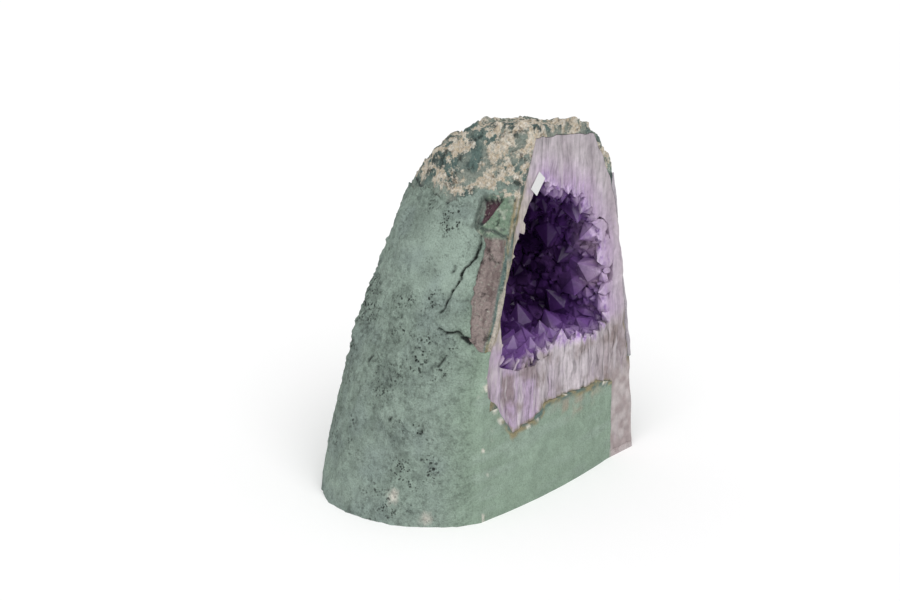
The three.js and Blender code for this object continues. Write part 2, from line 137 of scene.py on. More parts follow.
# Single crystals at the rim of the mouth: x, y and z of the foot, radius and height.
RIM_CRYSTALS = [
    (26, 9, 82, 5.0, 6), (35, 8, 79, 6.0, 8), (44, 9, 81, 5.4, 7), (31, 17, 83, 6.0, 8),
    (41, 18, 83, 6.4, 8), (53, 10, 84, 5.0, 6), (51, 20, 85, 6.0, 7), (64, 9, 86, 4.4, 5),
    (62, 19, 86, 5.4, 6), (76, 9, 87, 4.4, 5), (90, 8, 87, 4.0, 4), (60, 6, 189, 3.4, 6),
    (67, 7, 188, 4.2, 8), (74, 6, 186, 3.8, 7), (82, 8, 183, 4.2, 6), (91, 7, 178, 4.2, 6),
    (108, 8, 170, 4.4, 5), (114, 9, 162, 4.8, 6), (118, 8, 153, 4.2, 6), (120, 12, 146, 5.2, 7),
    (122, 8, 139, 4.4, 6), (123, 13, 131, 5.4, 7), (124, 8, 123, 4.6, 6), (125, 13, 115, 5.6, 7),
    (126, 8, 107, 4.8, 6), (126, 12, 99, 5.0, 5), (118, 19, 156, 5.6, 7), (121, 21, 138, 6.0, 8),
    (123, 21, 122, 6.2, 8), (124, 20, 106, 6.0, 7),
]
HOLLOW_DEPTH = 76.0
QUARTZ_FOOT = {"left": 125.5, "right": 170.0, "bottom": 4.0, "top": 62.0, "depth": 14.0}
QUARTZ_FOOT_STEPS = 40

MAIN_CRYSTALS = {"count": 84, "seed": 3, "smallest": 5.0, "largest": 10.0, "lean": 0.42}
SMALL_CRYSTALS = {"count": 1150, "seed": 5, "smallest": 1.8, "largest": 4.4, "lean": 0.65}
RIM_CRYSTAL_SEED = 23
# How far a crystal reaches back into the crust, and how many points its mesh has.
CRYSTAL_STUB = 8.0
CRYSTAL_POINTS = 14
GOLDEN_ANGLE = math.pi * (3 - math.sqrt(5))
FRONT_SWELL = {"x": 58.0, "width": 62.0, "height": 44.0, "depth": 3.9}

# How far in front of the polished front the bowls that shape the crust and the hollow begin.
CRUST_COLLAR = 12
HOLLOW_COLLAR = 20
MOUTH_POINTS = 220
# Beyond every part of the stone: its low corner, and its high x and y.
FAR_LOW = (-200, -200, -100)
FAR_HIGH = (350, 400)
# The corners of the block that is cut from the front.
FRONT_BLOCK = ((-60, -60, -60), (240, 0, 260))

LABEL = {"at": (44.5, 190.7), "width": 11.7, "height": 7.3, "thickness": 0.3, "turn": 0.85}

# The camera of the photograph, in the layout's millimetres.
CAMERA = {"at": (-799.3, -618.4, 441.2), "azimuth": -51.06, "elevation": 17.0, "lens": 76.0, "sensor": 36.0}
# The studio: how bright white looks in it, the light from all round, and the broad lamp.
LIGHT_LEVEL = 1.25
AMBIENT = 0.55
FLOOR_REACH = 9000
SOFTBOX = {"from": (-0.75, -0.75, 1.3), "energy": 2.2, "angle": 60.0}


def srgb(red, green, blue, light=LIGHT_LEVEL):
    """The surface colour that shows as these screen values, from 0 to 255, in the studio's light."""
    shown = np.array([red, green, blue]) / 255.0
    return np.where(shown < 0.04045, shown / 12.92, ((shown + 0.055) / 1.055) ** 2.4) / light


CEMENT = srgb(159, 177, 165)
CEMENT_DARK = srgb(112, 126, 118)
CEMENT_PALE = srgb(168, 184, 174)
CEMENT_GREEN = srgb(147, 168, 149)
CEMENT_BLUE = srgb(147, 163, 158)
STAIN = srgb(178, 166, 150)
TEAL_ROCK = srgb(102, 124, 119)
DARK_ROCK = srgb(62, 70, 70)
CROWN_GREY = srgb(150, 158, 148)
TAN_CRUST = srgb(212, 194, 168)
CREAM_CRUST = srgb(238, 232, 220)
AGATE = srgb(206, 196, 184)
RIND = srgb(185, 178, 186)
BROWN_ROCK = srgb(160, 146, 142)
BROWN_DARK = srgb(120, 104, 102)
HOLE_ROCK = srgb(98, 70, 80)
PATCH_GREEN = srgb(132, 156, 134)
PATCH_PALE = srgb(198, 204, 188)
OLIVE_LINE = srgb(158, 148, 116)
QUARTZ_PALE = srgb(220, 210, 216)
QUARTZ_GREY = srgb(190, 178, 186)
QUARTZ_LILAC = srgb(196, 168, 206)
LILAC = srgb(224, 200, 236)
VIOLET = srgb(146, 104, 180)
DEEP_VIOLET = srgb(94, 54, 128)
NIGHT_VIOLET = srgb(70, 38, 96)
PLUM = srgb(132, 90, 162)
PINK_QUARTZ = srgb(220, 190, 214)
BAND_GREY = srgb(186, 176, 182)
BAND_BROWN = srgb(150, 134, 132)
FOOT_BROWN = srgb(178, 164, 164)
FOOT_PALE = srgb(204, 194, 194)
LABEL_WHITE = srgb(238, 238, 238)
FLOOR_WHITE = srgb(250, 250, 250, 1)
QUARTZ_IOR = 1.544


def ease(t):
    return t * t * (3 - 2 * t)


def rise(value, start, end):
    """From 0 to 1 as a value goes from start to end."""
    return ease(np.clip((value - start) / (end - start), 0, 1))


def fall(value, start, end):
    """From 1 to 0 as a value goes from start to end."""
    return 1 - rise(value, start, end)


def scatter(i, j, k):
    """A repeatable number from 0 to 1 for three whole numbers."""
    s = np.sin(i * 127.1 + j * 311.7 + k * 74.7) * 43758.5453
    return s - np.floor(s)


def bumps(points, size, seed):
    """Smooth noise from -1 to 1 whose bumps are about size apart."""
    scaled = points / size
    cell = np.floor(scaled)
    u, v, w = ease(scaled - cell).T
    i, j, k = cell.T
    i = i + seed * 17

    def row(b, c):
        return scatter(i, j + b, k + c) * (1 - u) + scatter(i + 1, j + b, k + c) * u

    near = row(0, 0) * (1 - v) + row(1, 0) * v
    far = row(0, 1) * (1 - v) + row(1, 1) * v
    return 2 * (near * (1 - w) + far * w) - 1


def rough(points, size, seed, octaves=3):
    """Several layers of bumps, each half the size and half the height of the one before."""
    total = np.zeros(len(points))
    for n in range(octaves):
        total += bumps(points, size / 2 ** n, seed + 31 * n) / 2 ** n
    return total / 1.6


def level_value(values, z):
    """One value of the level outlines at height z, on a smooth curve through them."""
    levels = np.array(LEVEL_Z, float)
    values = np.array(values, float)
    slopes = np.empty_like(values)
    slopes[1:-1] = (values[2:] - values[:-2]) / (levels[2:] - levels[:-2])
    slopes[0] = (values[1] - values[0]) / (levels[1] - levels[0])
    slopes[-1] = (values[-1] - values[-2]) / (levels[-1] - levels[-2])
    height = np.clip(z, levels[0], levels[-1])
    i = np.clip(np.searchsorted(levels, height, side="right") - 1, 0, len(levels) - 2)
    step = levels[i + 1] - levels[i]
    t = (height - levels[i]) / step
    return (
        (2 * t**3 - 3 * t**2 + 1) * values[i]
        + (t**3 - 2 * t**2 + t) * step * slopes[i]
        + (3 * t**2 - 2 * t**3) * values[i + 1]
        + (t**3 - t**2) * step * slopes[i + 1]
    )


def outside_stone(p):
    """Roughly how far outside the smooth, unsawn stone each point is; below zero inside."""
    x, y, z = p.T
    dx = x - level_value(MID_X, z)
    dy = y - level_value(MID_Y, z)
    depth = level_value(DEPTH, z)
    right = dx > 0
    reach = np.where(right, level_value(REACH_RIGHT, z), level_value(REACH_LEFT, z))
    power = np.where(right, RIGHT_ROUNDNESS, LEFT_ROUNDNESS)
    span = (np.abs(dx / reach) ** power + np.abs(dy / depth) ** power) ** (1 / power)
    outside = np.maximum((span - 1) * np.minimum(reach, depth), BELOW_BASE - z)
    for at, out in CROWN_FACES:
        out = np.array(out) / np.linalg.norm(out)
        outside = np.maximum(outside, (p - np.array(at)) @ out)
    return outside


def lumps(p):
    """How far the flanks and the broken crown swell or sink at each point."""
    flank = 1.6 * bumps(p, 34, 1) + 0.8 * bumps(p, 15, 2)
    ledges = 2.4 * np.floor(1.6 * bumps(p, 17, 3) + 0.5) * 0.7 + 1.6 * bumps(p, 11, 4)
    share = rise(p[:, 2], 183, 197)
    return flank * (1 - share) + ledges * share


def smooth_radius(rays):
    """The distance from the heart to the smooth stone's surface along each ray."""
    inner = np.zeros(len(rays))
    outer = np.full(len(rays), LONGEST_RAY)
    for _ in range(RAY_HALVINGS):
        middle = (inner + outer) / 2
        inside = outside_stone(HEART + rays * middle[:, None]) < 0
        inner = np.where(inside, middle, inner)
        outer = np.where(inside, outer, middle)
    return inner


def line_distance(points, line):
    """The distance of each 2-D point from an open line."""
    best = np.full(len(points), 1e9)
    line = np.array(line, float)
    for a, b in zip(line[:-1], line[1:]):
        along = np.clip((points - a) @ (b - a) / ((b - a) @ (b - a)), 0, 1)
        best = np.minimum(best, np.linalg.norm(points - a - along[:, None] * (b - a), axis=1))
    return best


def outline_distance(points, outline):
    """The distance of each 2-D point from a closed outline: above zero outside it, below zero inside."""
    closed = np.array(list(outline) + [outline[0]], float)
    inside = np.zeros(len(points), bool)
    x, z = points.T
    for (ax, az), (bx, bz) in zip(closed[:-1], closed[1:]):
        if az != bz:
            crossing = (az > z) != (bz > z)
            inside ^= crossing & (x < (bx - ax) * (z - az) / (bz - az) + ax)
    return np.where(inside, -1, 1) * line_distance(points, closed)


def patches(points, centres):
    """From 0 to 1 how near each 2-D point is to any of some round patches."""
    most = np.zeros(len(points))
    for a, b, radius in centres:
        away = np.hypot(points[:, 0] - a, points[:, 1] - b)
        most = np.maximum(most, fall(away, 0.45 * radius, 1.15 * radius))
    return most


def place(points):
    """Layout millimetres to the row frame in metres."""
    return (np.asarray(points, float) - MIDDLE) * MM


def new_object(name, points, faces):
    """An object with a closed mesh, its points in layout millimetres."""
    mesh = bpy.data.meshes.new(name)
    mesh.from_pydata(place(points).tolist(), [], [list(map(int, face)) for face in faces])
    mesh.update()
    made = bpy.data.objects.new(name, mesh)
    bpy.context.scene.collection.objects.link(made)
    return made


def layout_points(mesh):
    """A mesh's vertices in layout millimetres."""
    flat = np.empty(len(mesh.vertices) * 3)
    mesh.vertices.foreach_get("co", flat)
    return flat.reshape(-1, 3) / MM + MIDDLE


def combine(base, other, operation):
    """Joins or cuts base with another object, which is used up, and keeps the result in base."""
    step = base.modifiers.new("combine", "BOOLEAN")
    step.operation = operation
    step.solver = "MANIFOLD"
    step.object = other
    bpy.context.view_layer.update()
    evaluated = base.evaluated_get(bpy.context.evaluated_depsgraph_get())
    mesh = bpy.data.meshes.new_from_object(evaluated)
    base.modifiers.clear()
    old = base.data
    base.data = mesh
    bpy.data.meshes.remove(old)
    drop(other)


def cut(base, other):
    combine(base, other, "DIFFERENCE")


def drop(thing):
    """Removes an object and its mesh."""
    mesh = thing.data
    bpy.data.objects.remove(thing)
    bpy.data.meshes.remove(mesh)


def copy_of(thing):
    made = bpy.data.objects.new(thing.name + "_copy", thing.data.copy())
    bpy.context.scene.collection.objects.link(made)
    return made


def block(low, high, spacing=None):
    """A box between two corners. A spacing cuts its front and back into squares of about that size."""
    low, high = np.array(low, float), np.array(high, float)
    shape = bmesh.new()
    bmesh.ops.create_cube(shape, size=1)
    if spacing:
        for axis in (0, 2):
            cuts = max(int((high - low)[axis] / spacing) - 1, 0)
            edges = [e for e in shape.edges if abs((e.verts[0].co - e.verts[1].co)[axis]) > 1e-6]
            bmesh.ops.subdivide_edges(shape, edges=edges, cuts=cuts, use_grid_fill=True)
    bmesh.ops.triangulate(shape, faces=shape.faces)
    points = np.array([v.co for v in shape.verts]) * (high - low) + (low + high) / 2
    faces = [[v.index for v in f.verts] for f in shape.faces]
    shape.free()
    return new_object("block", points, faces)


def keep_largest(thing):
    """Deletes loose crumbs and sealed pockets, which leaves the largest connected skin."""
    shape = bmesh.new()
    shape.from_mesh(thing.data)
    shape.verts.ensure_lookup_table()
    group = np.full(len(shape.verts), -1)
    sizes = []
    for start in shape.verts:
        if group[start.index] >= 0:
            continue
        stack = [start]
        group[start.index] = len(sizes)
        count = 0
        while stack:
            vert = stack.pop()
            count += 1
            for edge in vert.link_edges:
                other = edge.other_vert(vert)
                if group[other.index] < 0:
                    group[other.index] = len(sizes)
                    stack.append(other)
        sizes.append(count)
    keep = int(np.argmax(sizes))
    bmesh.ops.delete(shape, geom=[v for v in shape.verts if group[v.index] != keep], context="VERTS")
    shape.to_mesh(thing.data)
    shape.free()


def ball(fine_parts, subdivisions=6):
    """Rays from the heart as a ball, cut finer where each of the given tests says so."""
    shape = bmesh.new()
    bmesh.ops.create_icosphere(shape, subdivisions=subdivisions, radius=1)
    for is_fine in fine_parts:
        shape.faces.ensure_lookup_table()
        centres = np.array([f.calc_center_median().normalized() for f in shape.faces])
        chosen = is_fine(HEART + centres * smooth_radius(centres)[:, None])
        edges = {e for f, fine in zip(shape.faces, chosen) if fine for e in f.edges}
        bmesh.ops.subdivide_edges(shape, edges=list(edges), cuts=1, use_grid_fill=True)
        bmesh.ops.triangulate(shape, faces=[f for f in shape.faces if len(f.verts) > 3])
        for vert in shape.verts:
            vert.co.normalize()
    shape.verts.index_update()
    rays = np.array([v.co for v in shape.verts])
    faces = [[v.index for v in f.verts] for f in shape.faces]
    shape.free()
    return rays, faces


def on_left(p):
    return p[:, 0] < 62


def crown_line(p):
    """The height at which the cement stops under the crown."""
    x, y = p[:, 0], p[:, 1]
    angle = np.arctan2(y - HEART[1], x - HEART[0])
    wander = 3 * np.sin(3 * angle + 1) + 2 * np.sin(7 * angle)
    left = np.interp(y, *np.array(CEMENT_TOP, float).T)
    share = rise(x, 40, 75)
    return left * (1 - share) + (CROWN_LINE_HEIGHT + wander) * share


def covered(p):
    """How far inside the cement's edge each point of the surface lies; below zero on bare rock."""
    ragged = 1.6 * rough(p, 9, 71) + 0.7 * rough(p, 3, 72, 2)
    side = p[:, [1, 2]]
    strip = np.where(on_left(p), outline_distance(side, BARE_STRIP), 60)
    return np.minimum(crown_line(p) - p[:, 2], strip) + ragged


def visible_sides(p):
    return (p[:, 1] > 1) & (p[:, 2] > 1)


def bare_rock(p):
    return (p[:, 2] > ROCK_BOTTOM) & (covered(p) < 6)


def near_edge_or_crack(p):
    side = p[:, [1, 2]]
    crack = np.minimum(line_distance(side, UPPER_CRACK), line_distance(side, LOWER_CRACK))
    return visible_sides(p) & on_left(p) & ((np.abs(covered(p)) < 3.5) | (crack < 3))


def right_edge(p):
    """The stone's right edge by the front is knobbly."""
    return 1.3 * rough(p, 9, 31, 3) * rise(p[:, 0], 95, 110) * fall(p[:, 1], 12, 26)


def crust_share(p):
    """From 0 to 1 where the crown carries tan crust."""
    return rise(rough(p, 9, 51, 4) + 0.5 * rough(p, 3.2, 52, 3), -0.06, 0.1)


def rock_radius(smooth, p):
    """The host rock's surface: craggy where it is bare, and deep where cement covers it."""
    cover = covered(p)
    crown = rise(p[:, 2], 172, 190)
    ridges = 1 - 2 * np.abs(rough(p, 10, 11, 4))
    crags = 1.5 * rough(p, 12, 16, 3) + 1.3 * ridges + 0.7 * rough(p, 2.4, 13, 3)
    steps = 3.0 * bumps(p, 11, 14)
    terraces = 0.9 * (np.floor(steps + 0.5) - steps)
    crumbly = crust_share(p) * (0.6 + 0.7 * np.abs(rough(p, 2.2, 17, 3)))
    shoulder = 4.5 * np.exp(-(((p - (30, 62, 199)) / (12, 14, 9)) ** 2).sum(1))
    shaped = lumps(p) - BARE_ROCK_SUNK + (crags + terraces + crumbly + shoulder) * crown
    shaped += (1.0 * rough(p * (1, 1, 0.35), 5, 15, 4)) * (1 - crown)
    shaped -= np.where(on_left(p), 4.5 * fall(outline_distance(p[:, [1, 2]], HOLE), -1.2, 0.4), 0)
    shaped += right_edge(p)
    hidden = lumps(p) - CEMENT_THICKNESS
    share = rise(cover, 0.5, 7)
    return smooth + shaped * (1 - share) + hidden * share


def crack_wander(p):
    """How far the cracks stray from their lines, as y and z."""
    return np.column_stack([1.3 * rough(p, 5, 27, 3), 0.9 * rough(p, 4, 33, 2)])


def cement_radius(smooth, p, rock):
    """The cement's surface: pitted and cracked where it covers the rock, and sunk into it elsewhere."""
    side = p[:, [1, 2]]
    y, z = side.T
    left = on_left(p)
    holes = np.where(left, patches(side, HOLE_PATCHES), 0.45)
    flat = np.where(left, patches(side + 3 * rough(p, 14, 28)[:, None], SMOOTH_PATCHES), 0)
    lower_front = fall(y, 0.5, 8)
    calm = np.maximum(flat, lower_front)
    surface = lumps(p) * fall(z, 180, 190) + 0.9 * flat * (1 - lower_front)
    surface += (1.3 * rough(p, 10, 23, 3) + 1.5 * rough(p, 4, 21, 3)) * (1 - calm)
    surface += (0.3 * rough(p, 5, 29, 3)) * (1 - lower_front)
    crumbs = rise(rough(p, 2.6, 22, 2), -0.1, 0.5) * (1 - calm)
    surface += 1.0 * crumbs * (0.45 + 0.55 * holes)
    surface -= 1.4 * rise(rough(p, 2.8, 24, 2), 0.3, 0.55) * holes * (1 - calm)
    surface -= 1.2 * rise(rough(p, 6.5, 25, 2), 0.55, 0.75) * (1 - calm)
    back = rise(y, 60, 100)
    surface += back * 0.9 * np.abs(rough(p, 5, 26, 2))
    surface += right_edge(p)
    width = 0.5 + 0.3 * bumps(p, 5, 30)
    for line, depth in ((UPPER_CRACK, 1.5), (LOWER_CRACK, 1.3)):
        away = line_distance(side + crack_wander(p), line)
        surface -= np.where(left, depth * np.exp(-((away / width) ** 2)), 0)
        surface += np.where(left & (side[:, 0] > 14), 0.35 * fall(away, 0.5, 9), 0)
    for start, end in SLITS:
        surface -= np.where(left, 1.6 * np.exp(-((line_distance(side, [start, end]) / 0.8) ** 2)), 0)
    surface += 1.3 * np.exp(-((covered(p) / 3.5) ** 2)) * rise(z, 150, 185)
    cover = rise(covered(p), -0.5, 0.5)
    return np.where(cover > 0, (smooth + surface) * cover + (rock - 3) * (1 - cover), rock - 3)


def set_values(thing, name, values):
    """A number for each vertex, for the materials to read."""
    layer = thing.data.attributes.new(name, "FLOAT", "POINT")
    layer.data.foreach_set("value", np.asarray(values, np.float32))


def set_colours(thing, name, colours):
    """A linear colour for each vertex, for the materials to read."""
    layer = thing.data.color_attributes.new(name, "FLOAT_COLOR", "POINT")
    rgba = np.concatenate([colours, np.ones((len(colours), 1))], axis=1)
    layer.data.foreach_set("color", rgba.astype(np.float32).ravel())


def blend(first, second, share):
    """A second colour laid over a first by a share for each vertex. Each may be one colour or many."""
    return first * (1 - share[:, None]) + second * share[:, None]


def narrowing(share):
    """How wide a bowl still is at a share of its depth."""
    return (1 - share**BOWL_ROUNDNESS) ** (1 / BOWL_ROUNDNESS)


def outline_rim(outline, spacing, jagged, seed):
    """An outline resampled evenly, with its edge broken up a little. Points are x and z."""
    closed = np.array(list(outline) + [outline[0]], float)
    lengths = np.concatenate([[0], np.cumsum(np.linalg.norm(np.diff(closed, axis=0), axis=1))])
    along = np.arange(0, lengths[-1], spacing)
    rim = np.stack([np.interp(along, lengths, closed[:, n]) for n in range(2)], axis=1)
    deep = np.column_stack([rim[:, 0], np.zeros(len(rim)), rim[:, 1]])
    away = rim - CRUST_MIDDLE
    away /= np.linalg.norm(away, axis=1)[:, None]
    return rim + away * (jagged * rough(deep, 7, seed, 3))[:, None]


def bowl(name, rim, depth, collar, margin=0.0):
    """A bowl sunk into the face behind a rim, with a collar in front of the face."""
    away = rim - CRUST_MIDDLE
    length = np.linalg.norm(away, axis=1)[:, None]
    rings = [(-collar, 1.0)] if collar else []
    shares = np.linspace(0, 0.985, BOWL_RINGS) ** 0.8
    rings += [(share * (depth + margin), narrowing(share)) for share in shares]
    points = []
    for y, narrow in rings:
        flat = CRUST_MIDDLE + away / length * (length * narrow + margin)
        points.append(np.column_stack([flat[:, 0], np.full(len(rim), y), flat[:, 1]]))
    around = len(rim)
    front = len(rings) * around
    ends = [points[0].mean(0), points[-1].mean(0)]
    points = np.vstack(points + ends)
    faces = []
    for i in range(around):
        n = (i + 1) % around
        faces += [(front, n, i), (front + 1, front - around + i, front - around + n)]
        for r in range(len(rings) - 1):
            a = r * around
            faces += [(a + i, a + n, a + around + i), (a + n, a + around + n, a + around + i)]
    return new_object(name, points, faces)


def mouth_radius(angles):
    """The mouth's distance from the middle in each direction, with the margin behind the crystals' tips."""
    outline = np.array(MOUTH_OUTLINE, float) - CRUST_MIDDLE
    following = np.roll(outline, -1, axis=0)
    radii = np.zeros(len(angles))
    for n, angle in enumerate(angles):
        ray = np.array([math.cos(angle), math.sin(angle)])
        edge = following - outline
        turn = ray[0] * edge[:, 1] - ray[1] * edge[:, 0]
        turn = np.where(np.abs(turn) < 1e-9, 1e-9, turn)
        along = (outline[:, 0] * edge[:, 1] - outline[:, 1] * edge[:, 0]) / turn
        share = (outline[:, 0] * ray[1] - outline[:, 1] * ray[0]) / turn
        hit = (along > 0) & (share >= 0) & (share <= 1)
        radii[n] = along[hit].max()
    return radii + MOUTH_MARGIN


def mouth_swell(angles):
    """How much wider the mouth is in each direction where its crystals are broken."""
    total = np.zeros(len(angles))
    for at, half, size in MOUTH_SWELLS:
        off = (np.degrees(angles) - at + 180) % 360 - 180
        total += size * fall(np.abs(off), 0.4 * half, half)
    return total


def crystal(radius, height, at, aim, spin, chance):
    """One quartz crystal: a six-sided column with an uneven point. Returns its points and faces."""
    corner = np.arange(6) * math.pi / 3 + spin
    shoulder = height * (0.9 + 0.5 * chance[:6]) - 0.25 * radius
    narrow = 0.8 * radius
    foot = np.column_stack([narrow * np.cos(corner), narrow * np.sin(corner), np.full(6, -CRYSTAL_STUB)])
    ring = np.column_stack([radius * np.cos(corner), radius * np.sin(corner), shoulder])
    tip = [(chance[6] - 0.5) * 0.5 * radius, (chance[7] - 0.5) * 0.5 * radius, height + radius * 1.1]
    local = np.vstack([foot, ring, [tip], [[0, 0, -CRYSTAL_STUB]]])
    helper = np.array([0.0, 0.0, 1.0]) if abs(aim[2]) < 0.9 else np.array([1.0, 0.0, 0.0])
    side = np.cross(helper, aim)
    side /= np.linalg.norm(side)
    points = at + local @ np.array([side, np.cross(aim, side), aim])
    faces = []
    for i in range(6):
        n = (i + 1) % 6
        faces += [(i, n, 6 + i), (n, 6 + n, 6 + i), (6 + i, 6 + n, 12), (13, n, i)]
    return points, faces


def crystal_places(settings):
    """Where the crystals of the hollow grow, how they lean and how large they are."""
    count = settings["count"]
    index = np.arange(count)
    chance = np.stack([scatter(index, n, settings["seed"]) for n in range(1, 15)], axis=1)
    share = (index + 0.1) / count
    angle = index * GOLDEN_ANGLE
    wall = mouth_radius(angle) * narrowing(share)
    mid_x, mid_z = CRUST_MIDDLE
    feet = np.column_stack([mid_x + wall * np.cos(angle), share * HOLLOW_DEPTH, mid_z + wall * np.sin(angle)])
    middle = np.column_stack([np.full(count, mid_x), feet[:, 1] * 0.45, np.full(count, mid_z)])
    aims = middle - feet
    aims /= np.linalg.norm(aims, axis=1)[:, None]
    aims += settings["lean"] * (chance[:, :3] - 0.5) * 2
    aims /= np.linalg.norm(aims, axis=1)[:, None]
    radii = settings["smallest"] + (settings["largest"] - settings["smallest"]) * chance[:, 3] ** 1.5
    heights = radii * (0.05 + 0.5 * chance[:, 4])
    left_rim = rise(-np.cos(angle), 0.1, 0.5) * fall(feet[:, 1], 8, 22)
    radii *= 1 - 0.6 * left_rim
    heights *= 1 - 0.6 * left_rim
    return [(radii[i], heights[i], feet[i], aims[i], chance[i, 5] * math.pi, chance[i, 6:]) for i in index]


def rim_crystals():
    """The crystals that stand at the rim of the mouth and point into it."""
    made = []
    for n, (x, y, z, radius, height) in enumerate(RIM_CRYSTALS):
        chance = scatter(n, np.arange(12), RIM_CRYSTAL_SEED)
        foot = np.array([x, y, z], float)
        aim = np.array([CRUST_MIDDLE[0], y + 2, CRUST_MIDDLE[1]]) - foot
        aim = aim / np.linalg.norm(aim) + 0.5 * (chance[:3] - 0.5)
        made.append((radius, height, foot, aim / np.linalg.norm(aim), chance[3] * math.pi, chance[4:]))
    return made


def crystal_groups(places):
    """Sorts crystals into groups in which none touches another."""
    groups = []
    for one in places:
        radius, height, at, aim = one[:4]
        low, high = at - aim * CRYSTAL_STUB, at + aim * (height + 1.4 * radius)
        centre = (low + high) / 2
        reach = np.linalg.norm(high - low) / 2 + 0.35 * radius
        for group in groups:
            if all(np.linalg.norm(centre - c) > reach + r for c, r, _ in group):
                group.append((centre, reach, one))
                break
        else:
            groups.append([(centre, reach, one)])
    return [[one for _, _, one in group] for group in groups]


def crystal_cluster(group):
    points, faces = [], []
    for one in group:
        p, f = crystal(*one)
        faces += [tuple(i + CRYSTAL_POINTS * len(points) for i in face) for face in f]
        points.append(p)
    return new_object("cluster", np.vstack(points), faces)


def quartz_foot():
    """The foot of quartz at the right of the lower front, bounded by the stone's own flank."""
    heights = np.linspace(QUARTZ_FOOT["bottom"], QUARTZ_FOOT["top"], QUARTZ_FOOT_STEPS)
    edge = np.column_stack([heights * 0, heights * 0, heights])
    left = QUARTZ_FOOT["left"] + 1.1 * rough(edge, 14, 91, 3)
    outline = [(x, z) for x, z in zip(left, heights)]
    outline += [(QUARTZ_FOOT["right"], QUARTZ_FOOT["top"]), (QUARTZ_FOOT["right"], QUARTZ_FOOT["bottom"])]
    count = len(outline)
    depths = (-3, QUARTZ_FOOT["depth"])
    points = [(x, y, z) for y in depths for x, z in outline]
    middle_x, middle_z = 150, 33
    points += [(middle_x, y, middle_z) for y in depths]
    faces = []
    for i in range(count):
        n = (i + 1) % count
        faces += [(2 * count, n, i), (2 * count + 1, count + i, count + n)]
        faces += [(i, n, count + i), (n, count + n, count + i)]
    return new_object("foot", points, faces)


def on_foot(p):
    """From 0 to 1 where the front belongs to the foot of quartz."""
    return rise(p[:, 0], 124, 127) * fall(p[:, 2], 52, 64)


def upright(p):
    """Coordinates that are stretched along the quartz columns, which stand nearly upright on the front."""
    return p * (1, 0.3, 0.14) + np.column_stack([bumps(p, 13, 88), p[:, 0] * 0, p[:, 0] * 0])


def quartz_relief(p):
    """How deep the quartz lies behind the plane of the front: broken columns low down, nearly flat above."""
    x, z = p[:, 0], p[:, 2]
    columns = upright(p)
    low = fall(z, 84, 100)
    right = rise(x, 104, 116) * rise(z, 92, 106) * fall(z, 160, 185)
    right *= fall(outline_distance(p[:, [0, 2]], CRUST_OUTLINE), -3, -1)
    broken = 1.1 + 1.5 * rough(columns, 5, 92, 2) + 0.8 * rough(columns, 2.2, 93, 2)
    broken += 0.6 * rough(p, 5, 90, 2)
    lumpy = 0.9 + 1.3 * rough(p, 7, 94, 3)
    sawn = 0.12 + 0.12 * rough(columns, 2.5, 95, 2)
    foot = on_foot(p)
    rugged = 0.6 + 0.8 * rough(p, 5, 96, 3)
    relief = sawn + np.maximum(broken, 0) * low * (1 - foot) + np.maximum(lumpy, 0) * right
    return relief + np.maximum(rugged, 0) * foot


def lower_front_relief(p):
    """The cement of the lower front swells out a little towards its foot."""
    across = (p[:, 0] - FRONT_SWELL["x"]) / FRONT_SWELL["width"]
    swell = 1 - across ** 2 - (p[:, 2] / FRONT_SWELL["height"]) ** 2
    uneven = 0.25 * rough(p, 14, 97, 2) + 0.12 * rough(p * (0.3, 1, 1), 3, 98, 2)
    return uneven - FRONT_SWELL["depth"] * np.clip(swell, 0, 1)


def rock_edge_relief(p):
    return 0.25 + 0.25 * rough(p, 4, 99, 3)


def front_cutter(relief, spacing):
    """A block in front of the stone, whose back is shaped by the relief to leave behind it."""
    made = block(*FRONT_BLOCK, spacing)
    p = layout_points(made.data)
    p[:, 1] = np.where(p[:, 1] > -0.001, relief(p), p[:, 1])
    made.data.vertices.foreach_set("co", place(p).ravel())
    return made


